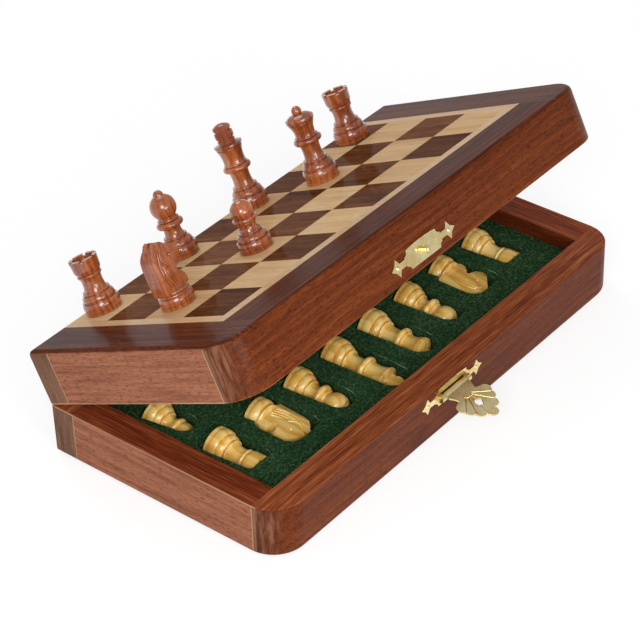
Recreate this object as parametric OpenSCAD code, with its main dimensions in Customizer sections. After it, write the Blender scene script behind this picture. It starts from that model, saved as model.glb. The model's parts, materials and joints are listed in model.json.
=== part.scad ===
// Folding chess box: two equal wooden trays hinged along one long side, with the board
// inlaid on their outer faces, a brass hasp on the front and turned men on and in it.
// Units are millimetres. The origin is the centre of the lower tray's underside,
// +X runs along the hinge, +Y points to the hinge and +Z points up.
// Every tray piece is drawn for the lower tray; the lid is the same tray mirrored
// over the rims and swung open about the hinge.

/* [Board] */
// Side of one chess square
square = 25; // [24:0.5:28]
// Width of the pale stringing round the squares
strip_w = 5; // [3:0.5:7]
// Width of the dark border outside the stringing
border_w = 22; // [20:0.5:26]
// Thickness of the veneers
veneer_t = 1; // [0.6:0.1:1.4]
// Glue line left round each veneer square
glue_line = 0.04; // [0.02:0.01:0.1]
// Thickness of the steel sheet that holds the magnetic men
steel_t = 0.5; // [0.3:0.1:0.8]
// Distance the steel sheet stays back from the edge of the squares
steel_inset = 3; // [2:0.5:6]

/* [Trays] */
// Height of each tray
shell_h = 26; // [25:0.5:30]
// Thickness of the front rail that carries the hasp
front_t = 14.5; // [13:0.5:17]
// Thickness of the end boards
end_t = 14.5; // [13:0.5:16]
// Thickness of the rail along the hinge
back_t = 12; // [11:0.5:14]
// Radius of the two upright corners at the front
corner_r = 16; // [12:1:20]
// Radius of the rounded edge round the board face
arris_r = 2.5; // [1.5:0.5:3.5]
// Radius of the same edge along the hinge side
hinge_arris_r = 1; // [0.5:0.25:1.5]
// Thickness of the panel behind the steel sheet
panel_t = 4.2; // [3.4:0.1:4.6]
// Angle between the rims in the pose shown
open_a = 25.33; // [0:1:150]

/* [Pocketed lining] */
// Drop from the rim to the face of the lining
lining_drop = 8; // [7:0.5:10]
// Thickness of lining left under a pocket
pocket_skin = 0.5; // [0.4:0.1:1]
// Room round a man in its pocket
pocket_room = 0.9; // [0.6:0.1:1.2]
// Gap between an end wall and the foot of the rook next to it
rook_end_gap = 9.4; // [8:0.2:11]
// Distance from the hinge side to the feet of the front row
officers_d = 64.5; // [63:0.5:66]
// Distance from the hinge side to the feet of the pawns
pawns_d = 28.5; // [27:0.5:31]
// Gap under a man lying in its pocket
lie_gap = 0.2; // [0.1:0.05:0.3]

/* [Hinges] */
// Distance of each hinge from the middle of the box
hinge_x = 75; // [60:5:90]
// Length of a hinge
hinge_l = 25; // [22:1:30]
// Depth of a hinge leaf from its knuckles
leaf_d = 9; // [8:0.5:10]
// Thickness of a hinge leaf
leaf_t = 1; // [0.8:0.1:1.2]
// Outer radius of the knuckles
knuckle_r = 1.9; // [1.7:0.1:2.2]
// Radius of the hinge pin
pin_r = 0.9; // [0.7:0.1:1]
// Clearance round the pin in the lower leaf
pin_fit = 0.02; // [0.02:0.01:0.04]
// Clearance round the pin in the leaf that turns
pin_run = 0.05; // [0.04:0.01:0.08]
// Gap between knuckles
knuckle_gap = 0.2; // [0.15:0.05:0.4]
// Gap between the rims when closed, and between the backs when flat open
rim_gap = 0.3; // [0.2:0.05:0.5]
// Room cut in the rails round the knuckles
barrel_room = 0.35; // [0.3:0.05:0.6]
// Radius of a screw head
screw_head_r = 1.7; // [1.5:0.1:1.9]
// Radius of a screw shank
screw_r = 0.8; // [0.6:0.05:0.9]
// Length of a screw
screw_l = 8; // [6:0.5:10]
// Distance between the screws of a leaf
screw_pitch = 8.5; // [7:0.5:9]

/* [Hasp] */
// Place of the hasp along the front, from the middle
hasp_x = -7.5; // [-12:0.5:12]
// Drop from the rim to the hasp's pin
hasp_drop = 5.6; // [5:0.1:6]
// Thickness of the brass sheet
brass_t = 0.8; // [0.6:0.1:1]
// Width of the plate between its scooped corners
plate_w = 25; // [22:1:28]
// Height of the plate at its ends
plate_h = 8.6; // [8:0.2:9.2]
// Rise of the plate's arched edge
plate_rise = 0.9; // [0:0.1:1]
// Length of the whole plate over its star ends
plate_l = 44.5; // [42:0.5:48]
// Reach of a star's points
star_r = 4.2; // [3.5:0.1:4.4]
// Outer radius of the hasp's knuckles
hasp_knuckle_r = 1.7; // [1.6:0.05:1.8]
// Radius of the hasp's pin
hasp_pin_r = 0.7; // [0.5:0.05:0.8]
// Stand-off of the hasp's pin from the wood
hasp_standoff = 2.1; // [2:0.05:2.2]
// Width of the leaf at its knuckle
leaf_w = 16; // [14:0.5:17]
// Length of one outer knuckle
side_knuckle = 2.5; // [2:0.25:3]
// Reach of the leaf's tip from its pin
leaf_l = 23.5; // [22:0.5:24.5]
// Half width of the shell at its corners
shell_w = 11.2; // [10:0.2:12]
// Angle of the leaf below level in the pose shown
leaf_a = 10; // [0:1:50]
// Height of the catch knob above the lid's rim
catch_up = 7.3; // [7:0.1:8]
// Length of the knob outside its plate
knob_l = 4; // [3.6:0.1:4.4]
// Radius of the knob's head
knob_r = 1.6; // [1.3:0.1:1.7]
// Clearance of the leaf's hole round the knob's head
knob_room = 0.45; // [0.4:0.05:0.7]

/* [Men] */
// Height of a king
king_h = 42; // [40:0.5:44]
// Height of a queen
queen_h = 36.9; // [35:0.1:38]
// Height of a bishop
bishop_h = 32.4; // [31:0.1:34]
// Height of a knight to the tips of its ears
knight_h = 29.7; // [29:0.1:30.5]
// Height of a rook
rook_h = 25.5; // [24.5:0.1:27]
// Height of a pawn
pawn_h = 23.4; // [22.5:0.1:25]
// Radius of a king's and queen's foot
royal_r = 8.5; // [8:0.1:8.8]
// Radius of a bishop's foot
bishop_r = 8.3; // [8:0.1:8.8]
// Radius of a knight's foot
knight_r = 8.2; // [8:0.1:8.6]
// Radius of a rook's foot
rook_r = 8.6; // [8:0.1:8.8]
// Radius of a pawn's foot
pawn_r = 8.1; // [7.6:0.1:8.4]
// Radius of a royal crown
crown_r = 6.8; // [6:0.1:7]
// Radius of a bishop's mitre
mitre_r = 6.2; // [5.8:0.1:6.4]
// Radius of a rook's tower
tower_r = 6.6; // [6:0.1:6.8]
// Radius of a pawn's ball
ball_r = 5.3; // [5:0.1:5.6]
// Thickness of the carved horse
horse_t = 9.8; // [9:0.1:10.4]
// Radius of the round tool that cuts its mane
mane_r = 0.6; // [0.4:0.05:0.65]
// Number of notches round a rook's top
crenels = 6; // [4:1:8]
// Gap between a man's foot and the board
foot_gap = 0.05; // [0.02:0.01:0.1]

/* [Hidden] */
$fn = 64;
eps = 0.01;
playing_l = 8 * square;
playing_w = 4 * square;
box_l = playing_l + 2 * (strip_w + border_w);
box_w = playing_w + strip_w + border_w;
half_l = box_l / 2;
half_w = box_w / 2;
inner_l = box_l - 2 * end_t;
pocket_pitch = (inner_l - 2 * (rook_r + rook_end_gap)) / 7;
inner_front = -half_w + front_t;
inner_back = half_w - back_t;
panel_top = veneer_t + panel_t;
lining_top = shell_h - lining_drop;
pocket_floor = panel_top + pocket_skin;
board_front = half_w - playing_w;
// the hinge line lies half a rim gap outside the back and above the rims
hinge_y = half_w + rim_gap / 2;
hinge_z = shell_h + rim_gap / 2;
hasp_y = -half_w - hasp_standoff;
hasp_z = shell_h - hasp_drop;
catch_z = shell_h + rim_gap + catch_up;
catch_s = catch_z - hasp_z;
leaf_inner = hasp_standoff - brass_t - rim_gap;
board_z = 2 * hinge_z;
wood_dark = [0.40, 0.20, 0.12];
wood_panel = [0.52, 0.33, 0.20];
wood_pale = [0.84, 0.70, 0.50];
wood_border = [0.34, 0.22, 0.16];
green = [0.09, 0.22, 0.13];
steel = [0.55, 0.56, 0.58];
brass = [0.80, 0.70, 0.42];
man_dark = [0.45, 0.18, 0.10];
man_pale = [0.86, 0.70, 0.40];

// Standing men: place in squares along the hinge and away from it, and turn
stand_king = [4.515, 0.44, -50];
stand_queen = [5.49, 1.44, 0];
stand_bishop = [2.51, 0.48, 20];
stand_knight = [0.53, 2.36, 5];
stand_pawn = [2.575, 2.38, 0];
stand_rook_near = [0.46, 0.44, 10];
stand_rook_far = [7.36, 0.59, 25];

// Frames

// Draws the lid's children from the lower tray's drawing, swung open by open_a
module in_lid()
    swing_open() translate([0, 0, board_z]) mirror([0, 0, 1]) children();

module swing_open()
    translate([0, hinge_y, hinge_z]) rotate([-open_a, 0, 0])
        translate([0, -hinge_y, -hinge_z]) children();

// Stands a man on the lid's board at [squares along, squares from the hinge, turn]
module on_board(place)
    swing_open()
        translate([place[0] * square - playing_l / 2, half_w - place[1] * square,
                   board_z + foot_gap])
            rotate([0, 0, place[2]]) children();

// Lays a man in its pocket: it rests on its foot and on the widest part of its head
module lying(slot, feet_d, foot, head)
    translate([slot_x(slot), half_w - feet_d, lie_z(foot, head)])
        rotate([90 + lie_a(foot, head), 0, 0]) children();

function slot_x(slot) = (slot - 3.5) * pocket_pitch;
function lie_a(foot, head) = atan((foot[0] - head[0]) / (head[1] - foot[1]));
function lie_z(foot, head) = pocket_floor + lie_gap
    + foot[1] * sin(lie_a(foot, head)) + foot[0] * cos(lie_a(foot, head));

// Tray shell

// Outline of one end of the shell's section: reach from the middle, with the board edge
// rounded by the given radius
module edge_section(reach, radius)
    union() {
        translate([0, radius]) square([reach, shell_h - radius]);
        square([reach - radius, shell_h]);
        translate([reach - radius, radius]) circle(radius);
    }

// The solid that a tray would fill: rounded front corners and rounded board edge
module shell_block() {
    straight_y = half_w - corner_r;
    straight_x = half_l - corner_r;
    intersection() {
        union() {
            translate([-straight_x, -straight_y, 0])
                cube([2 * straight_x, straight_y + half_w, shell_h]);
            for (side = [-1, 1]) {
                translate([side * straight_x, -straight_y, 0])
                    rotate_extrude() edge_section(corner_r, arris_r);
                translate([side * straight_x, -straight_y, 0]) rotate([90, 0, 180])
                    linear_extrude(straight_y + half_w)
                        mirror([side > 0 ? 1 : 0, 0]) edge_section(corner_r, arris_r);
            }
            translate([-straight_x, -straight_y, 0]) rotate([90, 0, 90])
                linear_extrude(2 * straight_x) mirror([1, 0])
                    edge_section(corner_r, arris_r);
        }
        translate([-half_l, 0, 0]) rotate([90, 0, 90]) linear_extrude(box_l)
            union() {
                translate([-half_w, 0]) square([half_w + eps, shell_h]);
                edge_section(half_w, hinge_arris_r);
            }
    }
}

// Block over the full height of the wood above the veneers
module wood_block(x0, x1, y0, y1)
    translate([x0, y0, veneer_t]) cube([x1 - x0, y1 - y0, shell_h - veneer_t]);

module front_rail()
    difference() {
        intersection() {
            shell_block();
            wood_block(-half_l, half_l, -half_w, inner_front);
        }
        nail_holes(hasp_z);
    }

module back_rail()
    difference() {
        intersection() {
            shell_block();
            wood_block(-half_l, half_l, inner_back, half_w);
        }
        steel_sheet();
        for (side = [-1, 1]) translate([side * hinge_x, 0, 0]) {
            hinge_recess();
            hinge_screws(screw_r + eps, screw_head_r);
        }
    }

module end_board(side)
    intersection() {
        shell_block();
        wood_block(side > 0 ? inner_l / 2 : -half_l, side > 0 ? half_l : -inner_l / 2,
                   inner_front, inner_back);
    }

module panel()
    difference() {
        translate([-inner_l / 2, inner_front, veneer_t])
            cube([inner_l, inner_back - inner_front, panel_t]);
        steel_sheet();
    }

module steel_sheet()
    translate([-playing_l / 2 + steel_inset, board_front + steel_inset, veneer_t])
        cube([playing_l - 2 * steel_inset, playing_w - 2 * steel_inset, steel_t]);

// Board inlay

// Squares whose column and row add up to an even or an odd number
module squares(odd)
    intersection() {
        for (col = [0:7], row = [0:3])
            if ((col + row) % 2 == odd)
                translate([col * square - playing_l / 2 + glue_line / 2,
                           half_w - (row + 1) * square + glue_line / 2, 0])
                    cube([square - glue_line, square - glue_line, veneer_t]);
        shell_block();
    }

module stringing()
    intersection() {
        difference() {
            translate([-playing_l / 2 - strip_w, board_front - strip_w, 0])
                cube([playing_l + 2 * strip_w, playing_w + strip_w, veneer_t]);
            translate([-playing_l / 2, board_front, -eps])
                cube([playing_l, playing_w + eps, veneer_t + 2 * eps]);
        }
        shell_block();
    }

module border_ends()
    intersection() {
        for (side = [-1, 1])
            translate([side * (half_l - border_w / 2) - border_w / 2, -half_w, 0])
                cube([border_w, box_w, veneer_t]);
        shell_block();
    }

module border_front()
    intersection() {
        translate([-half_l + border_w, -half_w, 0])
            cube([box_l - 2 * border_w, border_w, veneer_t]);
        shell_block();
    }

// Lining

// Outline of the pocket of a man lying with its foot at the origin, with room for the
// foot to tilt until the head rests too
module pocket(foot, head, height, corner_r) {
    wide = foot[0] + pocket_room;
    narrow = head[0] + pocket_room;
    back = pocket_room + foot[0] * sin(lie_a(foot, head));
    reach = height + pocket_room;
    polygon([[-wide, back], [wide, back], [wide, 0], [narrow, corner_r - reach],
             [-narrow, corner_r - reach], [-wide, 0]]);
    if (corner_r < narrow)
        translate([corner_r - narrow, -reach])
            square([2 * (narrow - corner_r), corner_r + eps]);
    for (x = corner_r < narrow ? [corner_r - narrow, narrow - corner_r] : [0])
        translate([x, corner_r - reach]) circle(corner_r);
}

// Pocket with a round end for a round head
module round_pocket(foot, head, height)
    pocket(foot, head, height, head[0] + pocket_room);

// Outline of the shallow part of a knight's pocket, broad enough for muzzle and mane
module horse_pocket() {
    wide = horse_reach + pocket_room;
    reach = knight_h + pocket_room;
    translate([-wide, horse_end_r - reach])
        square([2 * wide, reach - horse_end_r - knight_foot_h + pocket_room]);
    translate([horse_end_r - wide, -reach])
        square([2 * (wide - horse_end_r), horse_end_r + eps]);
    for (side = [-1, 1])
        translate([side * (wide - horse_end_r), horse_end_r - reach]) circle(horse_end_r);
}

module lining()
    difference() {
        translate([-inner_l / 2, inner_front, panel_top])
            cube([inner_l, inner_back - inner_front, lining_top - panel_top]);
        translate([0, 0, pocket_floor]) linear_extrude(shell_h) {
            for (slot = [0:7])
                translate([slot_x(slot), half_w - pawns_d])
                    round_pocket(belly(pawn_r, pawn_foot_h), pawn_head, pawn_h);
            for (slot = [0, 7])
                translate([slot_x(slot), half_w - officers_d])
                    pocket(belly(rook_r, low_foot_h), rook_head, rook_h, pocket_corner_r);
            for (slot = [1, 6])
                translate([slot_x(slot), half_w - officers_d])
                    pocket(belly(knight_r, low_foot_h), horse_lie, low_foot_h,
                           pocket_corner_r);
            for (slot = [2, 5])
                translate([slot_x(slot), half_w - officers_d])
                    round_pocket(belly(bishop_r, low_foot_h), bishop_head, bishop_h);
            translate([slot_x(3), half_w - officers_d])
                round_pocket(belly(royal_r, foot_h), king_head, king_h);
            translate([slot_x(4), half_w - officers_d])
                round_pocket(belly(royal_r, foot_h), queen_head, queen_h);
        }
        // a step in a knight's pocket carries the side of the horse
        translate([0, 0, pocket_floor + horse_step]) linear_extrude(shell_h)
            for (slot = [1, 6])
                translate([slot_x(slot), half_w - officers_d]) horse_pocket();
    }

// Hinges, drawn about the middle of a hinge at x = 0

knuckle_w = hinge_l / 5;

// Knuckles at the given places, each a gap shorter than its fifth of the hinge
module knuckles(places, radius)
    for (place = places)
        translate([(place - 2.5) * knuckle_w + knuckle_gap / 2, hinge_y, hinge_z])
            rotate([0, 90, 0]) cylinder(h = knuckle_w - knuckle_gap, r = radius);

// Leaf let in flush with the rim, its own knuckles rolled from it
module hinge_leaf(own, other, bore_r)
    difference() {
        union() {
            difference() {
                translate([-hinge_l / 2 + knuckle_gap / 2, half_w - leaf_d, shell_h - leaf_t])
                    cube([hinge_l - knuckle_gap, leaf_d + rim_gap / 2, leaf_t]);
                for (place = other)
                    translate([(place - 2.5) * knuckle_w - knuckle_gap / 2,
                               hinge_y - knuckle_r - barrel_room, shell_h - knuckle_r])
                        cube([knuckle_w + knuckle_gap, 2 * knuckle_r, 2 * knuckle_r]);
            }
            knuckles(own, knuckle_r);
        }
        translate([-hinge_l, hinge_y, hinge_z]) rotate([0, 90, 0])
            cylinder(h = 2 * hinge_l, r = bore_r);
        hinge_screws(screw_r + pin_run, screw_head_r + pin_run);
    }

module base_hinge_leaf() hinge_leaf([0, 2, 4], [1, 3], pin_r + pin_fit);
module lid_hinge_leaf() hinge_leaf([1, 3], [0, 2, 4], pin_r + pin_run);

module hinge_recess() {
    translate([-hinge_l / 2, half_w - leaf_d, shell_h - leaf_t])
        cube([hinge_l, leaf_d + eps, leaf_t + eps]);
    translate([-hinge_l / 2 - knuckle_gap, hinge_y, hinge_z]) rotate([0, 90, 0])
        cylinder(h = hinge_l + 2 * knuckle_gap, r = knuckle_r + barrel_room);
}

module hinge_pin()
    translate([-hinge_l / 2, hinge_y, hinge_z]) rotate([0, 90, 0])
        cylinder(h = hinge_l, r = pin_r);

screw_y = half_w - leaf_d + 1.9 * screw_head_r;

// Three countersunk screws of a leaf, flush with the rim
module hinge_screws(shank_r, head_r)
    for (place = [-1:1])
        translate([place * screw_pitch, screw_y, shell_h]) {
            translate([0, 0, -leaf_t]) cylinder(h = leaf_t + (head_r > screw_head_r ? eps : 0),
                                                r1 = shank_r, r2 = head_r);
            translate([0, 0, -screw_l]) cylinder(h = screw_l - leaf_t + eps, r = shank_r);
        }

module slotted_hinge_screws()
    for (side = [-1, 1]) translate([side * hinge_x, 0, 0])
        difference() {
            hinge_screws(screw_r, screw_head_r);
            for (place = [-1:1])
                translate([place * screw_pitch, screw_y, shell_h])
                    rotate([0, 0, 35 * place]) cube([4, 0.4, 0.8], center = true);
        }

// Hasp and catch, drawn upright about x = 0

// Four-pointed star at each end of a plate
module star(reach) {
    waist = 0.38 * reach;
    polygon([[reach, 0], [waist, waist], [0, reach], [-waist, waist],
             [-reach, 0], [-waist, -waist], [0, -reach], [waist, -waist]]);
}

// Outline of the two brass plates: arched body with scooped corners and star ends
module plate_outline() {
    arch_r = (pow(plate_w / 2, 2) + pow(plate_rise, 2)) / (2 * max(plate_rise, 0.05));
    scoop_r = plate_h / 4;
    difference() {
        union() {
            square([plate_w, plate_h], center = true);
            intersection() {
                translate([0, plate_h / 2 + plate_rise - arch_r]) circle(arch_r, $fn = 200);
                translate([-plate_w / 2, 0]) square([plate_w, plate_h]);
            }
        }
        for (sx = [-1, 1], sy = [-1, 1])
            translate([sx * plate_w / 2, sy * plate_h / 2]) circle(scoop_r);
    }
    square([plate_l - 2 * star_r, plate_h / 3], center = true);
    for (side = [-1, 1]) translate([side * (plate_l / 2 - star_r), 0]) star(star_r);
}

module brass_plate()
    difference() {
        translate([0, -half_w, 0]) rotate([90, 0, 0])
            linear_extrude(brass_t) plate_outline();
        nail_shanks(nail_r + pin_run);
    }

nail_r = 0.5;
nail_head_r = 1.1;
nail_l = 7;

module nail_shanks(radius)
    for (side = [-1, 1])
        translate([side * (plate_l / 2 - star_r), -half_w - brass_t - eps, 0])
            rotate([-90, 0, 0]) cylinder(h = nail_l, r = radius);

module nail_holes(z)
    translate([hasp_x, 0, z]) nail_shanks(nail_r + eps);

// Two dome-headed nails through the stars
module plate_nails()
    for (side = [-1, 1])
        translate([side * (plate_l / 2 - star_r), -half_w - brass_t, 0]) rotate([-90, 0, 0]) {
            intersection() {
                translate([0, 0, nail_head_r / 2]) sphere(nail_head_r * 1.12);
                translate([-2, -2, -2]) cube([4, 4, 2]);
            }
            cylinder(h = nail_l - 2 * eps, r = nail_r);
        }

hasp_w = leaf_w + 2 * (side_knuckle + knuckle_gap);

module hasp_plate()
    difference() {
        union() {
            translate([0, 0, hasp_z]) brass_plate();
            for (side = [-1, 1])
                translate([side * (hasp_w - side_knuckle) / 2, hasp_y, hasp_z])
                    rotate([0, 90, 0])
                        cylinder(h = side_knuckle, r = hasp_knuckle_r, center = true);
        }
        // window that the leaf's knuckle turns in
        translate([0, -half_w, hasp_z])
            cube([leaf_w + 2 * knuckle_gap, 4 * brass_t, 2 * (hasp_knuckle_r + barrel_room)],
                 center = true);
        translate([0, hasp_y, hasp_z]) rotate([0, 90, 0])
            cylinder(h = plate_l, r = hasp_pin_r + pin_fit, center = true);
    }

module hasp_pin()
    translate([0, hasp_y, hasp_z]) rotate([0, 90, 0])
        cylinder(h = hasp_w, r = hasp_pin_r, center = true);

// The leaf lies along +Z from its pin, its back towards +Y, as when the box is shut
petals = 3;
fan_z = 5.5;
fan_a = atan2(shell_w, leaf_l / 2 - fan_z);
fan_side = norm([shell_w, leaf_l / 2 - fan_z]);
petal_r = 2.7;

function petal_a(k) = k * fan_a / petals;
function petal_l(k) = fan_side + (leaf_l - fan_z - fan_side)
    * pow(1 - abs(k) / petals, 1.6);

// Scalloped shell: seven petals fanned out from the neck
module shell_outline()
    for (k = [-petals:petals])
        translate([0, fan_z]) rotate(-petal_a(k)) {
            polygon([[-0.6, 0], [0.6, 0], [petal_r, petal_l(k) - petal_r],
                     [-petal_r, petal_l(k) - petal_r]]);
            translate([0, petal_l(k) - petal_r]) circle(petal_r);
        }

module neck_outline() {
    side_r = 9;
    difference() {
        translate([-leaf_w / 2, 0]) square([leaf_w, catch_s - 2]);
        for (side = [-1, 1])
            translate([side * (leaf_w / 2 + side_r - 2.6), 8.2]) circle(side_r - 0.6);
    }
}

// Lines between petals, from near the hole's rim to the scalloped edge
module fan_lines(radius, y)
    for (k = [-petals + 0.5:petals - 0.5])
        translate([0, y, fan_z]) rotate([0, petal_a(k), 0])
            translate([0, 0, 3.2]) {
                cylinder(h = petal_l(k) - 4.6, r = radius);
                sphere(radius);
                translate([0, 0, petal_l(k) - 4.6]) sphere(radius);
            }

module hasp_leaf() {
    outer = leaf_inner - brass_t;
    difference() {
        union() {
            rotate([90, 0, 0]) translate([0, 0, -leaf_inner]) linear_extrude(brass_t)
                union() { shell_outline(); neck_outline(); }
            rotate([0, 90, 0]) cylinder(h = leaf_w, r = hasp_knuckle_r, center = true);
            fan_lines(0.55, outer);
        }
        fan_lines(0.35, leaf_inner);
        rotate([0, 90, 0]) cylinder(h = plate_l, r = hasp_pin_r + pin_run, center = true);
        translate([0, 0, catch_s]) rotate([90, 0, 0])
            cylinder(h = 6 * brass_t, r = knob_r + knob_room, center = true);
        // flat that clears the knuckle from the plate when the leaf stands upright
        translate([-leaf_w, leaf_inner, hasp_knuckle_r]) cube([2 * leaf_w, 3, leaf_l]);
    }
}

// Knob riveted through the catch plate; the leaf's hole snaps over its head
module catch_knob() {
    neck_r = 0.75 * knob_r;
    translate([hasp_x, -half_w + 2, catch_z]) rotate([90, 0, 0])
        difference() {
            union() {
                cylinder(h = 2 + brass_t + knob_l - knob_r, r = neck_r);
                translate([0, 0, 2 + brass_t]) cylinder(h = 0.2, r = 1.5 * knob_r);
                translate([0, 0, 2 + brass_t + knob_l - knob_r]) sphere(knob_r);
            }
            translate([-4, -4, 2 + brass_t + knob_l - 0.4]) cube([8, 8, 2]);
        }
}

module knob_hole(radius)
    translate([hasp_x, -half_w + 2, catch_z]) rotate([90, 0, 0])
        cylinder(h = 2 + 2 * brass_t, r = radius);

// Men, standing on z = 0

// Band of a turned outline between two stations [radius, height]; a positive bulge
// swells it by that much, a negative one hollows it
module band(low, high, bulge) {
    chord = norm(high - low);
    across = [high[1] - low[1], low[0] - high[0]] / chord;
    sag = abs(bulge);
    arc_r = (chord * chord / 4 + sag * sag) / (2 * max(sag, eps));
    middle = (low + high) / 2;
    trapezium = [[0, low[1]], low, high, [0, high[1]]];
    if (bulge == 0) polygon(trapezium);
    if (bulge > 0) {
        polygon(trapezium);
        intersection() {
            translate(middle - across * (arc_r - sag)) circle(arc_r);
            translate([0, low[1]]) square([low[0] + high[0], high[1] - low[1]]);
        }
    }
    if (bulge < 0)
        difference() {
            polygon(trapezium);
            translate(middle + across * (arc_r - sag)) circle(arc_r);
        }
}

// Turned solid through stations [radius, height, bulge up to the next station]
module turned(stations)
    rotate_extrude()
        for (i = [0:len(stations) - 2]) {
            low = stations[i];
            high = stations[i + 1];
            if (high[1] > low[1]) band([low[0], low[1]], [high[0], high[1]], low[2]);
        }

// Ring of the given radius standing out between two heights
function ring(radius, low, high) =
    let (edge = radius - (high - low) / 3)
        [[edge, low, (high - low) / 3], [edge, high, 0]];

// Foot shared by all men: band, belly, hollow and ring
function foot(radius, height, ring_r) = concat(
    [[radius - 0.3, 0, 0], [radius - 0.3, 0.12 * height, 0],
     [radius - 0.5, 0.12 * height, 0.5], [radius - 0.6, 0.55 * height, 0],
     [radius - 1.8, 0.55 * height, 0], [radius - 1.8, 0.6 * height, 0],
     [radius - 1.2, 0.6 * height, 0.4], [ring_r + 0.2, 0.86 * height, 0],
     [ring_r - 0.7, 0.86 * height, 0], [ring_r - 0.7, 0.9 * height, 0]],
    ring(ring_r, 0.9 * height, height));

// Widest place of a foot's belly and of each head, as [radius, height]
function belly(radius, height) = [radius, 0.33 * height];
foot_h = 11;
low_foot_h = 10.3;
pawn_foot_h = 9.2;
knight_foot_h = 7.6;
king_head = [crown_r, 31.7];
queen_head = [crown_r, 30.9];
bishop_head = [mitre_r, 24.2];
rook_head = [tower_r, rook_h - 0.5];
pawn_head = [ball_r, pawn_h - ball_r];
collar_r = 6.8;
stem_r = 4.8;

module royal_body(body_r, crown_low)
    turned(concat(
        foot(royal_r, foot_h, 6),
        [[stem_r, foot_h, -0.4], [stem_r, 18.8, 0]],
        ring(collar_r, 18.8, 21.5), ring(5.6, 21.5, 22.5),
        [[body_r, 22.5, -0.45], [crown_r - 0.6, crown_low, 0]]));

module king() {
    royal_body(5.3, 29.9);
    turned([[crown_r - 1.3, 29.9, 0], [crown_r - 1.3, 30.4, 0], [crown_r - 0.5, 30.4, 0],
            [crown_r, 31.4, 0], [crown_r, 31.9, 0], [4, 32.5, 0]]);
    // cross: a turned block with two grooves, flattened front and back
    intersection() {
        turned([[4, 32.4, 0], [4.3, 34, 0], [3.5, 34.6, 0], [4.4, 35.2, 0.15],
                [4.4, 37.9, 0], [3.5, 38.5, 0], [4.4, 39.3, 0], [4.3, 40.4, 0.25],
                [0.8, king_h, 0]]);
        translate([-6, -2.9, 32]) cube([12, 5.8, king_h]);
    }
}

module queen() {
    royal_body(4.8, 28.3 + 0.4);
    turned([[crown_r - 1.3, 28.7, 0], [crown_r - 1.3, 29.2, 0],
            [crown_r - 0.5, 29.2, 0.15], [crown_r, 30.6, 0], [crown_r, 31.3, 0],
            [crown_r - 0.4, 31.4, 0.5], [2, 33.2, 0]]);
    translate([0, 0, queen_h - 2.4]) sphere(2.4);
}

module bishop() {
    difference() {
        union() {
            turned(concat(
                foot(bishop_r, low_foot_h, 5.6),
                [[4.6, low_foot_h, -0.3], [4.2, 14.7, 0]],
                ring(6.4, 14.7, 17.5), ring(5.1, 17.8, 18.9),
                [[4.3, 18.9, 0], [4.3, 20, 0]]));
            translate([0, 0, bishop_head[1]]) sphere(mitre_r);
            turned([[4.6, bishop_head[1] + 4.2, -0.2], [1.7, 30, 0]]);
            translate([0, 0, bishop_h - 2.5]) sphere(2.5);
        }
        // the slanting cut of the mitre
        translate([2.2, 0, 27]) rotate([0, -58, 0])
            translate([0, -8, -0.4]) cube([9, 16, 0.8]);
    }
}

module pawn() {
    turned(concat(
        foot(pawn_r, pawn_foot_h, 5.5),
        [[4.4, pawn_foot_h, -0.3], [4.1, 12.6, 0]],
        ring(4.7, 12.6, 13.4), ring(5.7, 13.4, 15.5),
        [[3.6, 15.5, 0], [3.6, 17, 0]]));
    translate([0, 0, pawn_head[1]]) sphere(ball_r);
}

module rook() {
    cup_r = tower_r - 1.9;
    difference() {
        turned(concat(
            foot(rook_r, low_foot_h, 6.3),
            [[5.3, low_foot_h, -0.4], [5, 16.7, 0]],
            ring(5.7, 16.7, 18.2),
            [[5.2, 18.2, 0.25], [tower_r - 0.3, 20.6, 0], [tower_r, rook_h, 0]]));
        translate([0, 0, rook_h - 2.6]) cylinder(h = 3, r = cup_r);
        for (k = [0:crenels - 1])
            rotate([0, 0, 360 / crenels * (k + 0.5)])
                translate([cup_r - 1, -0.7, rook_h - 1]) cube([4, 1.4, 2]);
    }
}

// Reach of a knight's muzzle from its axis, and the circle of its crest
horse_reach = 9.8;
crest_r = 9;
crest_z = knight_h - 1.2 - crest_r;
// top of the neck's sides, and how far they lean in on the way there
horse_top = knight_h - 1;
horse_lean = atan(horse_t / 6 / (horse_top - knight_foot_h));
// centre and radius of the cheek, and centre of the mane's curved grooves
cheek = [1.9, knight_h - 7.7];
cheek_r = 5.2;
mane = [12.6, knight_h - 12.5];

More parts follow.
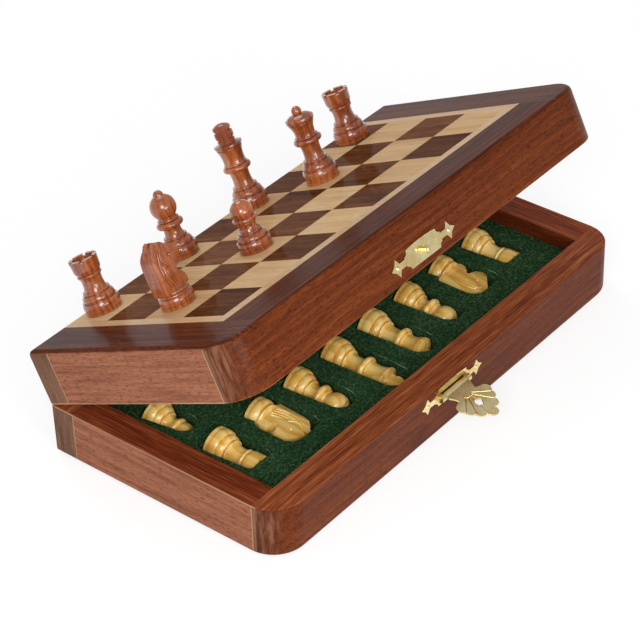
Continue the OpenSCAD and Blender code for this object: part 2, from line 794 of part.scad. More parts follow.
// Side outline of the horse with its muzzle to +X: a straight back to the crest, ears,
// a notch before the forehead, nose, chin, throat and chest
module horse_outline()
    difference() {
        union() {
            translate([0, crest_z]) circle(crest_r);
            translate([-crest_r, knight_foot_h - 0.5])
                square([crest_r + 2, crest_z - knight_foot_h + 0.5]);
            // ears
            polygon([[-5, crest_z + 7], [-3.4, knight_h - 0.7], [-1.9, knight_h],
                     [-0.9, knight_h - 0.5], [0, crest_z + 7]]);
            // head
            polygon([[-1, crest_z], [-1, knight_h - 1], [0.6, knight_h - 0.9],
                     [horse_reach - 1.8, knight_h - 6.9], [horse_reach, knight_h - 9.2],
                     [horse_reach - 0.1, knight_h - 11], [horse_reach - 1.4, knight_h - 12.6],
                     [horse_reach - 3.2, knight_h - 13.1], [2, knight_h - 14]]);
            // chest
            polygon([[-1, knight_foot_h - 0.5], [7.4, knight_foot_h - 0.5], [7.8, 9],
                     [7, 11.2], [2.6, knight_h - 14.9], [-1, knight_h - 12]]);
        }
        // throat, and the crest's circle outside the forehead and above the chest
        translate([4.1, knight_h - 14.6]) circle(1.2);
        polygon([[4, knight_h - 15.6], [4, knight_h - 13.5], [horse_reach - 3.2, knight_h - 13.1],
                 [horse_reach, knight_h - 13.1], [horse_reach, 11.2], [7, 11.2]]);
        polygon([[0.6, knight_h - 0.9], [horse_reach - 1.8, knight_h - 6.9],
                 [horse_reach, knight_h - 6.9], [horse_reach, knight_h], [0.6, knight_h]]);
        // notch between the ears and the forehead
        polygon([[-1.5, knight_h - 4], [-1.1, knight_h + 1], [0.4, knight_h + 1],
                 [0.4, knight_h - 1.2]]);
    }

// Front outline of the horse, leaning in from the foot to the ears
module horse_front()
    polygon([[-horse_t / 2, 0], [horse_t / 2, 0], [horse_t / 2, knight_foot_h],
             [horse_t / 3, horse_top], [horse_t / 3, knight_h + 1],
             [-horse_t / 3, knight_h + 1], [-horse_t / 3, horse_top],
             [-horse_t / 2, knight_foot_h]]);

// Outline from above: narrow at the mane, sides cut slantwise to chest and nose
module horse_plan()
    polygon([[-crest_r - 1, -0.28 * horse_t], [-5, -horse_t / 2], [2.2, -horse_t / 2],
             [horse_reach, -0.27 * horse_t], [horse_reach, 0.27 * horse_t],
             [2.2, horse_t / 2], [-5, horse_t / 2], [-crest_r - 1, 0.28 * horse_t]]);

// Carving drawn on the plane y = 0, moved to just outside a side of the horse
module on_cheek(side)
    translate([0, side * horse_t / 2, knight_foot_h]) rotate([side * horse_lean, 0, 0])
        translate([0, side * 0.15, -knight_foot_h]) children();

// Round groove along an arc in that plane
module curl(centre, radius, from, to, r)
    translate([centre[0], 0, centre[1]]) rotate([90, 0, 0]) rotate([0, 0, from])
        rotate_extrude(angle = to - from) translate([radius, 0]) circle(r);

module knight() {
    turned(concat(
        [[knight_r - 0.3, 0, 0], [knight_r - 0.3, 1.2, 0], [knight_r - 0.5, 1.2, 0.5],
         [knight_r - 0.6, 5, 0], [knight_r - 1.3, 5, -0.2], [knight_r - 1.6, 6.2, 0]],
        ring(knight_r - 0.9, 6.2, knight_foot_h)));
    difference() {
        intersection() {
            translate([0, horse_t / 2, 0]) rotate([90, 0, 0])
                linear_extrude(horse_t) horse_outline();
            translate([-2 * crest_r, 0, 0]) rotate([90, 0, 90])
                linear_extrude(4 * crest_r) horse_front();
            linear_extrude(knight_h + 1) horse_plan();
        }
        // parting between the ears, down the top of the mane
        curl([0, crest_z], crest_r + 0.5, 84, 136, 1.1);
        for (side = [-1, 1]) on_cheek(side) {
            // locks of the mane, then the jaw, eye, nostril and mouth
            curl(mane, 13.6, 186, 213, mane_r);
            curl(mane, 15.1, 182, 212, mane_r);
            curl(mane, 16.6, 173, 209, mane_r);
            curl(mane, 18.1, 155, 206, mane_r);
            curl(cheek, cheek_r, 122, 234, mane_r);
            translate([cheek[0], 0.4 * side, cheek[1]]) sphere(1);
            translate([horse_reach - 1.5, -side * 1.6, knight_h - 10]) sphere(0.6);
            translate([horse_reach - 3.6, -1.2 * horse_t / 3, knight_h - 12.3])
                rotate([0, 14, 0]) cube([6, 2.4 * horse_t / 3, 0.5]);
        }
    }
}

// The knight lies with the side of its horse flat on the step of its pocket
horse_lie = [knight_r - tan(horse_lean) * (22 - belly(knight_r, low_foot_h)[1]), 22];
horse_step = lie_z(belly(knight_r, low_foot_h), horse_lie) - lie_gap - pocket_floor
    - horse_t / 2 * cos(horse_lean) - knight_foot_h * sin(horse_lean);
horse_end_r = 6;
pocket_corner_r = 2.5;

// Sub-parts

module base_front_rail() color(wood_dark) front_rail();
module base_back_rail() color(wood_dark) back_rail();
module base_left_end() color(wood_dark) end_board(-1);
module base_right_end() color(wood_dark) end_board(1);
module base_panel() color(wood_panel) panel();
module base_steel_sheet() color(steel) steel_sheet();
module base_dark_squares() color(wood_border) squares(0);
module base_light_squares() color(wood_pale) squares(1);
module base_stringing() color(wood_pale) stringing();
module base_border_ends() color(wood_border) border_ends();
module base_border_front() color(wood_border) border_front();
module base_lining() color(green) lining();

module lid_front_rail() color(wood_dark)
    in_lid() difference() {
        intersection() {
            shell_block();
            wood_block(-half_l, half_l, -half_w, inner_front);
        }
        translate([0, 0, board_z]) mirror([0, 0, 1]) {
            nail_holes(catch_z);
            knob_hole(knob_r);
        }
    }
module lid_back_rail() color(wood_dark) in_lid() back_rail();
module lid_left_end() color(wood_dark) in_lid() end_board(-1);
module lid_right_end() color(wood_dark) in_lid() end_board(1);
module lid_panel() color(wood_panel) in_lid() panel();
module lid_steel_sheet() color(steel) in_lid() steel_sheet();
module lid_dark_squares() color(wood_border) in_lid() squares(1);
module lid_light_squares() color(wood_pale) in_lid() squares(0);
module lid_stringing() color(wood_pale) in_lid() stringing();
module lid_border_ends() color(wood_border) in_lid() border_ends();
module lid_border_front() color(wood_border) in_lid() border_front();
module lid_lining() color(green) in_lid() lining();

module base_hinge_leaf_left() color(brass) translate([-hinge_x, 0, 0]) base_hinge_leaf();
module base_hinge_leaf_right() color(brass) translate([hinge_x, 0, 0]) base_hinge_leaf();
module lid_hinge_leaf_left() color(brass)
    in_lid() translate([-hinge_x, 0, 0]) lid_hinge_leaf();
module lid_hinge_leaf_right() color(brass)
    in_lid() translate([hinge_x, 0, 0]) lid_hinge_leaf();
module hinge_pins() color(steel)
    for (side = [-1, 1]) translate([side * hinge_x, 0, 0]) hinge_pin();
module base_hinge_screws() color(brass) slotted_hinge_screws();
module lid_hinge_screws() color(brass) in_lid() slotted_hinge_screws();

module base_hasp_plate() color(brass) translate([hasp_x, 0, 0]) hasp_plate();
module base_hasp_pin() color(steel) translate([hasp_x, 0, 0]) hasp_pin();
module hasp_nails() color(brass) translate([hasp_x, 0, hasp_z]) plate_nails();
module swung_hasp_leaf() color(brass)
    translate([hasp_x, hasp_y, hasp_z]) rotate([90 + leaf_a, 0, 0]) hasp_leaf();
module lid_catch_plate() color(brass)
    swing_open() difference() {
        translate([hasp_x, 0, catch_z]) brass_plate();
        knob_hole(0.75 * knob_r + pin_run);
    }
module lid_catch_knob() color(brass) swing_open() catch_knob();
module catch_nails() color(brass)
    swing_open() translate([hasp_x, 0, catch_z]) plate_nails();

module dark_king() color(man_dark) on_board(stand_king) king();
module dark_queen() color(man_dark) on_board(stand_queen) queen();
module dark_bishop() color(man_dark) on_board(stand_bishop) bishop();
module dark_knight() color(man_dark) on_board(stand_knight) knight();
module dark_pawn() color(man_dark) on_board(stand_pawn) pawn();
module dark_rook_near() color(man_dark) on_board(stand_rook_near) rook();
module dark_rook_far() color(man_dark) on_board(stand_rook_far) rook();

module lying_rook(slot)
    lying(slot, officers_d, belly(rook_r, low_foot_h), rook_head) rook();
module lying_bishop(slot)
    lying(slot, officers_d, belly(bishop_r, low_foot_h), bishop_head)
        rotate([0, 0, 115]) bishop();
module lying_knight(slot, facing)
    lying(slot, officers_d, belly(knight_r, low_foot_h), horse_lie)
        rotate([0, 0, facing]) knight();
module cream_rook_near() color(man_pale) lying_rook(0);
module cream_rook_far() color(man_pale) lying_rook(7);
module cream_knight_near() color(man_pale) lying_knight(1, 180);
module cream_knight_far() color(man_pale) lying_knight(6, 0);
module cream_bishop_near() color(man_pale) lying_bishop(2);
module cream_bishop_far() color(man_pale) lying_bishop(5);
module cream_king() color(man_pale)
    lying(3, officers_d, belly(royal_r, foot_h), king_head) king();
module cream_queen() color(man_pale)
    lying(4, officers_d, belly(royal_r, foot_h), queen_head) queen();
module cream_pawns() color(man_pale)
    for (slot = [0:7])
        lying(slot, pawns_d, belly(pawn_r, pawn_foot_h), pawn_head) pawn();

base_front_rail();
base_back_rail();
base_left_end();
base_right_end();
base_panel();
base_steel_sheet();
base_dark_squares();
base_light_squares();
base_stringing();
base_border_ends();
base_border_front();
base_lining();
lid_front_rail();
lid_back_rail();
lid_left_end();
lid_right_end();
lid_panel();
lid_steel_sheet();
lid_dark_squares();
lid_light_squares();
lid_stringing();
lid_border_ends();
lid_border_front();
lid_lining();
base_hinge_leaf_left();
base_hinge_leaf_right();
lid_hinge_leaf_left();
lid_hinge_leaf_right();
hinge_pins();
base_hinge_screws();
lid_hinge_screws();
base_hasp_plate();  // hasp_plate
base_hasp_pin();  // hasp_pin
hasp_nails();
swung_hasp_leaf();  // hasp_leaf
lid_catch_plate();  // catch_plate
lid_catch_knob();  // catch_knob
catch_nails();
dark_king();
dark_queen();
dark_bishop();
dark_knight();
dark_pawn();
dark_rook_near();
dark_rook_far();
cream_rook_near();
cream_knight_near();
cream_bishop_near();
cream_king();
cream_queen();
cream_bishop_far();
cream_knight_far();
cream_rook_far();
cream_pawns();
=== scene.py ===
import json
import math

import bpy
from mathutils import Matrix, Vector


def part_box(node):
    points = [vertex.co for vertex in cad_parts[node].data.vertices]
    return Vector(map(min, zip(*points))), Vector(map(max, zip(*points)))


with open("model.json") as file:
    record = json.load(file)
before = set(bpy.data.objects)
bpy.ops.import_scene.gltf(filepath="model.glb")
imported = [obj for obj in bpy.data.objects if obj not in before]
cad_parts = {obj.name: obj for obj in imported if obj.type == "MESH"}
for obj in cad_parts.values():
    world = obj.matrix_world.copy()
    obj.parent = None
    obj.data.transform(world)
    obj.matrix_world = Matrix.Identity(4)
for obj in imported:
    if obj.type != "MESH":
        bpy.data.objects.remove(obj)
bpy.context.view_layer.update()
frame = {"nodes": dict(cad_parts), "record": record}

NODES = frame["nodes"]
JOINTS = {joint["name"]: joint for joint in frame["record"]["behaviour"]["joints"]}

# Places that the frame gives: the hinge line, and how far open the lid stands
HINGE = Vector(JOINTS["lid_hinge"]["pos_m"])
OPEN = -math.radians(JOINTS["lid_hinge"]["range_deg"][0])
PALE_MEN = ("cream_rook_near", "cream_knight_near", "cream_bishop_near", "cream_king",
            "cream_queen", "cream_bishop_far", "cream_knight_far", "cream_rook_far")
DARK_MEN = ("dark_king", "dark_queen", "dark_bishop", "dark_knight", "dark_pawn",
            "dark_rook_near", "dark_rook_far")

# The way the grain of a piece runs, and the lid's turn from closed
ALONG_X = Matrix.Identity(3)
ALONG_Y = Matrix.Rotation(math.radians(90), 3, "Z")
ALONG_Z = Matrix.Rotation(math.radians(-90), 3, "Y")
LID = Matrix.Rotation(-OPEN, 3, "X")


def rgb(red, green, blue):
    """A display colour, 0 to 255, as the linear colour that a shader wants."""
    return tuple(((c / 255 + 0.055) / 1.055) ** 2.4 if c > 10.3 else c / 255 / 12.92
                 for c in (red, green, blue)) + (1.0,)


class Val:
    """A socket in a material's tree that takes part in sums."""

    def __init__(self, tree, socket):
        self.tree, self.socket = tree, socket

    def math(self, operation, *others):
        node = self.tree.nodes.new("ShaderNodeMath")
        node.operation = operation
        for slot, value in zip(node.inputs, (self, *others)):
            plug(self.tree, slot, value)
        return Val(self.tree, node.outputs[0])

    def __add__(self, other):
        return self.math("ADD", other)

    def __sub__(self, other):
        return self.math("SUBTRACT", other)

    def __rsub__(self, other):
        return self.math("MULTIPLY_ADD", -1.0, other)

    def __mul__(self, other):
        return self.math("MULTIPLY", other)

    def __truediv__(self, other):
        return self.math("DIVIDE", other)

    def __pow__(self, other):
        return self.math("POWER", other)

    __radd__, __rmul__ = __add__, __mul__

    def fract(self):
        return self.math("FRACT")

    def floor(self):
        return self.math("FLOOR")

    def max(self, other):
        return self.math("MAXIMUM", other)

    def abs(self):
        return self.math("ABSOLUTE")


def plug(tree, slot, value):
    """Links a Val, or sets a plain number or tuple, on an input."""
    if isinstance(value, Val):
        tree.links.new(value.socket, slot)
    else:
        slot.default_value = value


class Finish:
    """A material around one Principled shader."""

    def __init__(self, name):
        self.mat = bpy.data.materials.new(name)
        self.mat.use_nodes = True
        self.tree = self.mat.node_tree
        self.shader = self.tree.nodes["Principled BSDF"]

    def node(self, kind, *values, out=0, stops=(), settings=None, **named):
        """One output of a new node. Values go to its inputs in order, or by name."""
        node = self.tree.nodes.new("ShaderNode" + kind)
        for key, value in (settings or {}).items():
            setattr(node, key, value)
        for _ in stops[2:]:
            node.color_ramp.elements.new(0.5)
        if stops:
            for mark, (place, colour) in zip(node.color_ramp.elements, stops):
                mark.position, mark.color = place, colour
        for slot, value in zip([s for s in node.inputs if s.enabled], values):
            plug(self.tree, slot, value)
        for key, value in named.items():
            plug(self.tree, node.inputs[key.replace("_", " ")], value)
        return Val(self.tree, [s for s in node.outputs if s.enabled][out])

    def place(self, origin=(0, 0, 0), turn=ALONG_X):
        """Object coordinates in millimetres, about an origin and turned back."""
        back = turn.inverted()
        return self.node("Mapping", self.node("TexCoord", out=3), Rotation=tuple(back.to_euler()),
                         Location=tuple(back @ Vector(origin) * -1000), Scale=(1000,) * 3)

    def stretch(self, place, scale, shift=(0, 0, 0)):
        """A place scaled along its axes, so that a small number draws a pattern out."""
        return self.node("Mapping", place, Scale=scale, Location=shift)

    def noise(self, place, scale=1.0, detail=3.0, rough=0.55, twist=0.0):
        return self.node("TexNoise", place, Scale=scale, Detail=detail, Roughness=rough,
                         Distortion=twist)

    def fit(self, value, low, high):
        """0 where a value is at low, 1 where it is at high, eased in between."""
        return self.node("MapRange", value, low, high, 0.0, 1.0,
                         settings={"interpolation_type": "SMOOTHSTEP"})

    def axes(self, place):
        """The three coordinates of a place."""
        split = self.node("SeparateXYZ", place)
        return [Val(self.tree, out) for out in split.socket.node.outputs]

    def ramp(self, value, *stops):
        """Colour of a value through (place, colour) stops."""
        return self.node("ValToRGB", value, stops=stops)

    def blend(self, share, first, second):
        return self.node("Mix", share, first, second, settings={"data_type": "RGBA"})

    def set(self, **inputs):
        for key, value in inputs.items():
            plug(self.tree, self.shader.inputs[key.replace("_", " ")], value)
        return self

    def bump(self, height, depth, strength=1.0):
        """Relief of depth millimetres where height goes from 0 to 1."""
        return self.set(Normal=self.node("Bump", Height=height, Distance=depth * 0.001,
                                         Strength=strength))

    def on(self, *names):
        """Gives this finish to CAD nodes."""
        for name in names:
            slots = NODES[name].material_slots
            if not slots:
                NODES[name].data.materials.append(self.mat)
            for slot in slots:
                slot.material = self.mat
        return self


# Woods. Each is a solid texture in millimetres whose grain runs along x of its own
# place. The lid's place is turned back to where it lies closed, so that base and lid
# read one set of heights, counted from the rims where they meet.

HOME = {"base": (Vector((0, 0, 0)), ALONG_X), "lid": (HINGE - LID @ HINGE, LID)}
LID_LINE = HINGE.z * 1000
HALF_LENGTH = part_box("base_left_end")[0].x * -1000
# Glue lines between an end board and the two rails
SEAMS = [corner.y * 1000 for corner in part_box("base_left_end")]
# Pale colour of the glue lines, and of the pale top edge of the end faces, which is part wear and
# part painted highlight
PALE_LINE = rgb(196, 150, 116)
# The far pith that a board's rings go round, and the width of a ring
PITH = (140, 60)
RING = 5.2


class Grain:
    """The fields that a piece of timber is painted with, each from 0 to 1."""

    def __init__(self, f, side, run, seed):
        origin, turn = HOME[side]
        self.place = f.node("VectorMath", f.place(origin, turn @ run),
                            (seed * 37.1, seed * 11.3, seed * 7.7))
        self.wander = f.noise(f.stretch(self.place, (0.006, 0.03, 0.03)), detail=2.0)
        ripple = f.noise(f.stretch(self.place, (0.02, 0.22, 0.22)))
        _, across, deep = f.axes(self.place)
        reach = ((across + PITH[0]) ** 2 + (deep + PITH[1]) ** 2) ** 0.5
        rings = ((reach + self.wander * 42 + ripple * 3.4) / RING).fract()
        self.late = f.fit(rings, 0.25, 0.95) * f.fit(rings, 1.0, 0.94)
        self.stripe = f.noise(f.stretch(self.place, (0.005, 0.5, 0.5)), detail=4.0, rough=0.7)
        self.fibre = f.noise(f.stretch(self.place, (0.06, 2.2, 2.2)), detail=3.0, rough=0.7)
        speck = f.noise(f.stretch(self.place, (0.30, 2.3, 2.3), (9, 4, 2)), detail=3.0, rough=0.6)
        self.pore = f.fit(speck, 0.50, 0.66)


def end_skin(f, grain, height, y, tones):
    """The sawn look of the box's outer end faces: streaks, glue lines, and a pale top
    edge that is part wear and part painted highlight.
    """
    smear = f.noise(f.stretch(grain.place, tones["smear"]), detail=4.0, rough=0.65)
    face = f.ramp(grain.fibre * 0.5 + smear * 1.3 - 0.4, (0.15, tones["light"]),
                  (0.5, tones["mid"]), (0.85, tones["dark"]))
    face = f.blend(grain.pore * tones["pores"], face, tones["pore"])
    # Pale top edge of the end faces in random patches: part wear, part painted highlight along
    # the arris
    edge_wear_and_highlight = f.fit(height, 0.75, 0.45) * f.fit(grain.wander, 0.30, 0.55)
    face = f.blend(edge_wear_and_highlight * 0.75, face, PALE_LINE)
    for seam in SEAMS:
        face = f.blend(f.fit((y - seam).abs(), 0.32, 0.16) * 0.6, face, PALE_LINE)
    return face


def corner_grain_and_highlight_bands(f, grain):
    """Upright light and dark bands where a rail's rounded corner cuts its grain: end grain,
    with painted highlights in the pale bands.
    """
    return f.ramp(f.noise(f.stretch(grain.place, (0.03, 0.4, 0.05)), detail=4.0, rough=0.7),
                  (0.38, rgb(56, 30, 20)), (0.5, rgb(96, 54, 35)), (0.62, rgb(132, 90, 68)))


def wood(name, side, run, tones, seed, skin=None, rim=None):
    """Timber with stripes along the grain, rings about a far pith, fibres and short
    dark pores. skin is the finish of the box's outer end faces, rim the tones of a
    painted highlight along the top of its rims."""
    f = Finish(name)
    grain = Grain(f, side, run, seed)
    tone = (grain.late * tones["figure"] + grain.stripe * tones["stripe"] + grain.fibre * 0.6
            + grain.wander * 0.5 - 0.05 - 0.3 * tones["figure"] - 0.5 * tones["stripe"])
    colour = f.ramp(tone, (0.15, tones["light"]), (0.5, tones["mid"]), (0.85, tones["dark"]))
    colour = f.blend(grain.pore * tones["pores"], colour, tones["pore"])
    rough = grain.fibre * 0.14 + tones["gloss"] - 0.06
    x, y, z = f.axes(f.place(*HOME[side]))
    height = (z - LID_LINE).abs()
    outer = f.fit(x.abs(), HALF_LENGTH - 0.5, HALF_LENGTH - 0.3)
    # Painted highlight: the rims' top faces and the top half millimetre below them are lightened
    # to the rim tones
    if rim:
        bright = f.ramp(grain.stripe + grain.fibre * 1.6 - 0.8, (0.1, rim["light"]),
                        (0.45, rim["mid"]), (0.8, rim["dark"]))
        colour = f.blend(f.fit(height, 0.5, 0.3) * (1 - outer), colour, bright)
    if skin:
        colour = f.blend(outer, colour, end_skin(f, grain, height, y, skin))
        rough = rough + outer * 0.12
    if skin is END_GRAIN:
        # Painted highlights: pale upright bands on the rails' rounded corners, mixed with their
        # end grain
        bend = f.fit(x.abs(), HALF_LENGTH - 8, HALF_LENGTH - 2) * (1 - outer)
        colour = f.blend(bend * f.fit(height, 0.6, 1.0) * 0.75, colour, corner_grain_and_highlight_bands(f, grain))
    f.set(Base_Color=colour, Roughness=rough, Specular_IOR_Level=tones["shine"],
          Coat_Weight=tones["coat"], Coat_Roughness=0.09)
    f.bump(grain.fibre * 0.5 - grain.pore * 0.7, 0.05, 0.4)
    return f


RAIL = {"dark": rgb(56, 22, 9), "mid": rgb(98, 44, 17), "light": rgb(132, 68, 30),
        "pore": rgb(34, 14, 6), "pores": 0.7, "gloss": 0.38, "coat": 0.04, "figure": 0.12,
        "stripe": 0.7, "shine": 0.06}
END = dict(RAIL, mid=rgb(96, 40, 20))
END_FACE = {"dark": rgb(112, 64, 46), "mid": rgb(150, 94, 68), "light": rgb(170, 112, 84),
            "pore": rgb(84, 46, 34), "pores": 0.8, "smear": (0.03, 1, 0.6)}
END_GRAIN = {"dark": rgb(84, 52, 38), "mid": rgb(116, 82, 62), "light": rgb(142, 104, 80),
             "pore": rgb(60, 40, 32), "pores": 0.6, "smear": (1, 0.45, 0.06)}
# Tones of the painted highlight along the top of the rims, for the rails and for the end boards
RAIL_TOP_HIGHLIGHT = {"dark": rgb(84, 34, 18), "mid": rgb(146, 76, 44), "light": rgb(196, 120, 76)}
END_TOP_HIGHLIGHT = {"dark": rgb(74, 28, 14), "mid": rgb(128, 58, 31), "light": rgb(168, 94, 56)}
BORDER = dict(RAIL, dark=rgb(40, 17, 8), mid=rgb(92, 42, 20), light=rgb(132, 68, 36),
              gloss=0.32, stripe=1.0, coat=0.02, shine=0.03)
MAPLE = {"dark": rgb(186, 142, 98), "mid": rgb(214, 174, 128), "light": rgb(226, 192, 148),
         "pore": rgb(170, 124, 82), "pores": 0.3, "gloss": 0.34, "coat": 0.14, "figure": 0.1,
         "stripe": 0.5, "shine": 0.12}

for seed, side in enumerate(("base", "lid")):
    wood(side + "_front_wood", side, ALONG_X, RAIL, seed * 2 + 1.0, END_GRAIN, RAIL_TOP_HIGHLIGHT).on(
        side + "_front_rail")
    wood(side + "_back_wood", side, ALONG_X, RAIL, seed * 2 + 5.0, END_GRAIN, RAIL_TOP_HIGHLIGHT).on(
        side + "_back_rail")
    wood(side + "_end_wood", side, ALONG_Y, END, seed * 2 + 9.0, END_FACE, END_TOP_HIGHLIGHT).on(
        side + "_left_end", side + "_right_end")
    wood(side + "_panel_wood", side, ALONG_X, END, seed + 9.0).on(side + "_panel")
    wood(side + "_border_front_wood", side, ALONG_X, BORDER, seed + 3.0).on(
        side + "_border_front")
    wood(side + "_border_end_wood", side, ALONG_Y, dict(BORDER, coat=0.10), seed + 6.0).on(
        side + "_border_ends")
    wood(side + "_stringing_wood", side, ALONG_Y, MAPLE, seed + 7.0).on(side + "_stringing")


# Side of a square of the board, and the hinge side from which the squares are counted
SQUARE = 25.0
HALF_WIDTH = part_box("base_light_squares")[1].y * 1000
DARK_SQUARE = dict(BORDER, dark=rgb(60, 30, 16), mid=rgb(112, 66, 38), light=rgb(146, 94, 60),
                   pore=rgb(46, 24, 14), coat=0.10)
LIGHT_SQUARE = dict(MAPLE, coat=0.10, dark=rgb(190, 146, 102), mid=rgb(216, 178, 132),
                    light=rgb(230, 198, 154))


def squares(side, node, tones, seed, spread):
    """Veneer whose grain runs away from the hinge and jumps from square to square."""
    f = Finish(side + node + "_veneer")
    place = f.place(*HOME[side])
    x, y, _ = f.axes(place)
    cell = f.node("CombineXYZ", (x / SQUARE).floor(), ((HALF_WIDTH - y) / SQUARE).floor(), seed)
    pick = f.node("TexWhiteNoise", cell)
    jump = f.node("VectorMath", f.node("TexWhiteNoise", cell, out=1), (900, 900, 0), place,
                  settings={"operation": "MULTIPLY_ADD"})
    line = f.noise(f.stretch(jump, (1.9, 0.035, 1.0)), detail=5.0, rough=0.65)
    pore = f.fit(f.noise(f.stretch(jump, (2.6, 0.16, 1.0)), detail=2.0), 0.52, 0.68)
    sweep = f.noise(f.stretch(jump, (0.16, 0.012, 1.0)), rough=0.5, twist=0.6)
    tone = line * 0.9 + sweep * 0.8 + (pick - 0.5) * spread - 0.35
    colour = f.ramp(tone, (0.15, tones["light"]), (0.5, tones["mid"]), (0.85, tones["dark"]))
    colour = f.blend(pore * tones["pores"], colour, tones["pore"])
    f.set(Base_Color=colour, Roughness=line * 0.1 + tones["gloss"] - 0.05,
          Coat_Weight=tones["coat"], Coat_Roughness=0.06, Specular_IOR_Level=0.0)
    f.bump(line * 0.4 - pore, 0.02, 0.2)
    return f.on(side + node)


for side in ("base", "lid"):
    squares(side, "_dark_squares", DARK_SQUARE, 2.0, 0.30)
    squares(side, "_light_squares", LIGHT_SQUARE, 5.0, 0.22)


# Drop from the rims to the face of a lining
LIP = LID_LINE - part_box("base_lining")[1].z * 1000
# Where the heads' ends of the two rows of pockets begin, and how far back they reach
HEAD_ENDS = ((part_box("cream_king")[0].y * 1000, 21), (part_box("cream_pawns")[0].y * 1000, 9))


def flock(side):
    """Short dark green pile: patchy nap, fine fibres, pale specks of lint, and pale
    lips where the heads' ends of the pockets are, part wear and part painted highlight."""
    f = Finish(side + "_pile")
    place = f.place()
    nap = f.noise(place, 0.05, 4.0, 0.6, 0.8)
    fibre = f.noise(place, 0.85, 5.0, 0.8)
    tone = nap * 0.25 + fibre * 2.2 - 0.78
    colour = f.ramp(tone, (0.15, rgb(22, 44, 26)), (0.5, rgb(46, 76, 46)),
                    (0.9, rgb(98, 132, 92)))
    lint = f.fit(f.noise(f.stretch(place, (0.9, 2.2, 1.5), (4, 9, 2)), 1.0, 2.0, 0.4), 0.66, 0.72)
    _, y, z = f.axes(f.place(*HOME[side]))
    height = (z - LID_LINE).abs()
    lip = f.fit(height, LIP + 0.05, LIP + 0.2) * f.fit(height, LIP + 0.8, LIP + 0.4)
    rows = [f.fit(y - low, room, room - 5) * f.fit(y - low, -9, -6) for low, room in HEAD_ENDS]
    heads = rows[0].max(rows[1])
    # Pale lips at the pockets' head ends: part wear, part painted highlight where the flock turns
    # over the edge
    lip_wear_and_highlight = lip * heads * f.fit(f.noise(place, 0.09, 2.0), 0.36, 0.54)
    colour = f.blend((lint * 0.6).max(lip_wear_and_highlight * 0.7), colour, rgb(160, 190, 160))
    f.set(Base_Color=colour, Roughness=1.0, Specular_IOR_Level=0.0)
    f.bump(fibre * 0.7 + nap * 0.3, 0.35, 0.7)
    return f.on(side + "_lining")


for side in ("base", "lid"):
    flock(side)


def metal(name, bright, dull, rough, *nodes):
    """Thin plated brass or steel: soft unevenness, dull patches and fine rubbing."""
    f = Finish(name)
    place = f.place()
    cloud = f.noise(place, 0.132, 3.0, 0.6)
    grit = f.noise(place, 1.44, 3.0, 0.6)
    rub = f.noise(f.stretch(place, (0.4, 6.0, 6.0)), 0.6, 2.0)
    tone = cloud * 0.9 + grit * 0.2 - 0.1
    colour = f.ramp(tone, (0.25, dull), (0.6, bright))
    f.set(Base_Color=colour, Metallic=1.0, Roughness=rough + grit * 0.12 + rub * 0.08)
    f.bump(cloud * 0.7 + grit * 0.3, 0.03, 0.5)
    return f.on(*nodes)


metal("pale_brass", rgb(254, 238, 186), rgb(224, 194, 120), 0.14,
      "hasp_plate", "hasp_leaf", "hasp_nails", "catch_plate", "catch_knob", "catch_nails",
      "base_hinge_leaf_left", "base_hinge_leaf_right", "lid_hinge_leaf_left",
      "lid_hinge_leaf_right", "base_hinge_screws", "lid_hinge_screws")
metal("bare_steel", rgb(190, 190, 188), rgb(140, 140, 138), 0.28,
      "hinge_pins", "hasp_pin", "base_steel_sheet", "lid_steel_sheet")


# Men. The grain runs up the man, so turning shows it as loops and stripes.

ROSEWOOD = {"dark": rgb(70, 24, 10), "mid": rgb(138, 62, 27), "light": rgb(196, 112, 58),
            "ring": 2.6, "figure": 0.16, "fine": 0.6, "pores": 0.5, "gloss": 0.2, "coat": 0.9}
BOXWOOD = {"dark": rgb(208, 140, 52), "mid": rgb(242, 192, 94), "light": rgb(252, 220, 138),
           "ring": 4.2, "figure": 0.4, "fine": 0.4, "pores": 0.15, "gloss": 0.26, "coat": 0.8}


def man_wood(node, where, tones, seed):
    """Lacquered turned wood about a man's foot: rings, fibres, pores and lathe marks."""
    f = Finish(node + "_wood")
    place = f.node("VectorMath", f.place(*where), (seed * 23.0, seed * 5.1, seed * 3.7))
    _, across, deep = f.axes(place)
    wander = f.noise(f.stretch(place, (0.03, 0.09, 0.09)), 1.0, 2.0)
    fine = f.noise(f.stretch(place, (0.08, 1.1, 1.1)), 1.0, 4.0, 0.65)
    pore = f.fit(f.noise(f.stretch(place, (0.35, 3.4, 3.4)), 1.0, 2.0), 0.57, 0.68)
    reach = ((across + 14) ** 2 + (deep + 9) ** 2) ** 0.5
    rings = ((reach + wander * 9 + fine * 1.1) / tones["ring"]).fract()
    late = f.fit(rings, 0.2, 0.9) * f.fit(rings, 1.0, 0.92)
    turned = f.noise(f.stretch(place, (2.6, 0.03, 0.03)), 1.0, 3.0, 0.7)
    tone = (late * tones["figure"] + fine * tones["fine"] + wander * 0.9 + turned * 0.5
            - 0.5 - 0.5 * tones["fine"])
    colour = f.ramp(tone, (0.0, tones["light"]), (0.4, tones["mid"]), (0.95, tones["dark"]))
    colour = f.blend(pore * tones["pores"], colour,
                     tuple(c * 0.4 for c in tones["dark"][:3]) + (1,))
    f.set(Base_Color=colour, Roughness=tones["gloss"] + fine * 0.1,
          Coat_Weight=tones["coat"], Coat_Roughness=0.06, Specular_IOR_Level=0.5)
    f.bump(turned * 0.8 + fine * 0.3 - pore * 0.6, 0.06, 0.3)
    return f.on(node)


def foot_of(node, up):
    """Middle of a man's foot: the point of its axis furthest back along up."""
    points = [v.co for v in NODES[node].data.vertices]
    middle = sum(points, Vector()) / len(points)
    low = min((p - middle).dot(up) for p in points)
    return middle + up * low


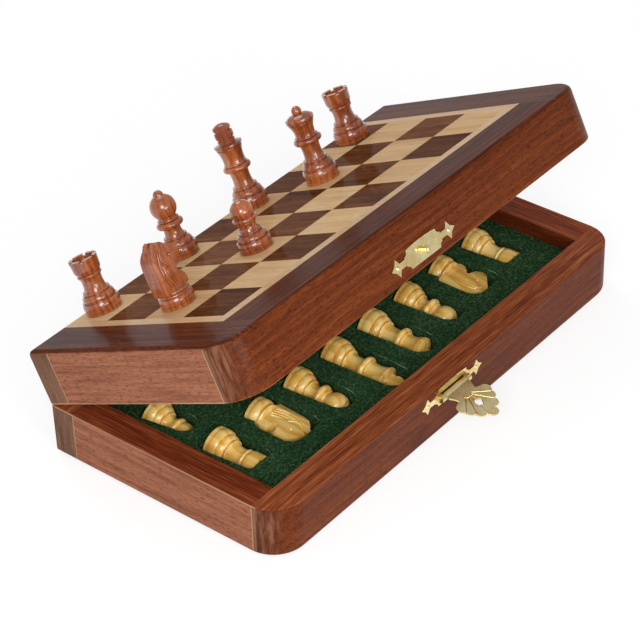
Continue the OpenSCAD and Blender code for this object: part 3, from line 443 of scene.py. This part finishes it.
BOARD_UP = LID @ Vector((0, 0, 1))
for seed, name in enumerate(DARK_MEN):
    man_wood(name, (foot_of(name, BOARD_UP), LID @ ALONG_Z), ROSEWOOD, seed + 1.0)
for seed, name in enumerate(PALE_MEN + ("cream_pawns",)):
    man_wood(name, (foot_of(name, Vector((0, -1, 0))), ALONG_Y), BOXWOOD, seed + 20.0)

# Worn edges: how much the boards' and linings' sharp corners are eased, in millimetres
EASED = {"front_rail": 0.5, "back_rail": 0.35, "left_end": 0.45, "right_end": 0.45,
         "lining": 0.7}
for side in ("base", "lid"):
    for part, width in EASED.items():
        weld = NODES[side + "_" + part].modifiers.new("weld", "WELD")
        weld.merge_threshold = 1e-6
        ease = NODES[side + "_" + part].modifiers.new("eased", "BEVEL")
        ease.width, ease.segments = width / 1000, 3
        ease.limit_method, ease.angle_limit = "ANGLE", math.radians(50)
        ease.harden_normals = False


# Stage: pale floor, soft lights and the photograph's camera

def seen(f):
    """1 where the camera or a mirror looks, 0 where light only bounces."""
    path = f.node("LightPath")
    rays = {out.name: Val(f.tree, out) for out in path.socket.node.outputs}
    return rays["Is Camera Ray"].max(rays["Is Glossy Ray"]).max(rays["Is Transmission Ray"])


def floor(reach=3.0, glow=0.62):
    """Pale floor: it keeps the shadow, and looks white to the camera by its own colour."""
    mesh = bpy.data.meshes.new("floor")
    corners = [(x * reach, y * reach, -0.0002) for x, y in ((-1, -1), (1, -1), (1, 1), (-1, 1))]
    mesh.from_pydata(corners, [], [(0, 1, 2, 3)])
    f = Finish("pale_floor")
    f.set(Base_Color=rgb(250, 250, 250), Roughness=0.9, Specular_IOR_Level=0.1)
    white = f.node("Emission", rgb(255, 255, 255), 1.12)
    mixed = f.node("MixShader", seen(f) * glow, Val(f.tree, f.shader.outputs[0]), white)
    plug(f.tree, f.tree.nodes["Material Output"].inputs["Surface"], mixed)
    mesh.materials.append(f.mat)
    obj = bpy.data.objects.new("floor", mesh)
    bpy.context.collection.objects.link(obj)


def room(light=0.5):
    """White surroundings, dimmer where they light than where they are seen."""
    world = bpy.data.worlds.new("studio")
    bpy.context.scene.world = world
    world.use_nodes = True
    back = world.node_tree.nodes["Background"]
    path = world.node_tree.nodes.new("ShaderNodeLightPath")
    camera = Val(world.node_tree, path.outputs["Is Camera Ray"])
    back.inputs["Color"].default_value = rgb(255, 255, 255)
    plug(world.node_tree, back.inputs["Strength"], camera * (1 - light) + light)


def lamp(name, at, size, power):
    """Round soft light that faces the box."""
    light = bpy.data.lights.new(name, "AREA")
    light.shape, light.size, light.energy = "DISK", size, power
    obj = bpy.data.objects.new(name, light)
    bpy.context.collection.objects.link(obj)
    obj.location = at
    obj.rotation_euler = (MIDDLE - Vector(at)).to_track_quat("-Z", "Y").to_euler()


MIDDLE = Vector((0, 0, 0.05))
floor()
room()
lamp("key", (-0.95, -0.60, 0.80), 0.6, 8)
lamp("low fill", (-0.45, -1.15, 0.42), 0.7, 8)
lamp("back", (0.3, 0.9, 1.0), 0.7, 3)

# Camera solved on the board's grid in the photograph
EYE = Vector((-0.68335, -0.55134, 0.66846))
AIM = Vector((-0.01316, 0.00519, 0.030))
ROLL = math.radians(1.972)
camera = bpy.data.cameras.new("camera")
camera.lens, camera.sensor_width, camera.clip_end = 134.88, 36.0, 20
eye = bpy.data.objects.new("camera", camera)
bpy.context.collection.objects.link(eye)
eye.location = EYE
look = (AIM - EYE).to_track_quat("-Z", "Y").to_matrix()
eye.rotation_euler = (look @ Matrix.Rotation(-ROLL, 3, "Z")).to_euler()
bpy.context.scene.camera = eye
bpy.context.scene.view_settings.view_transform = "Standard"
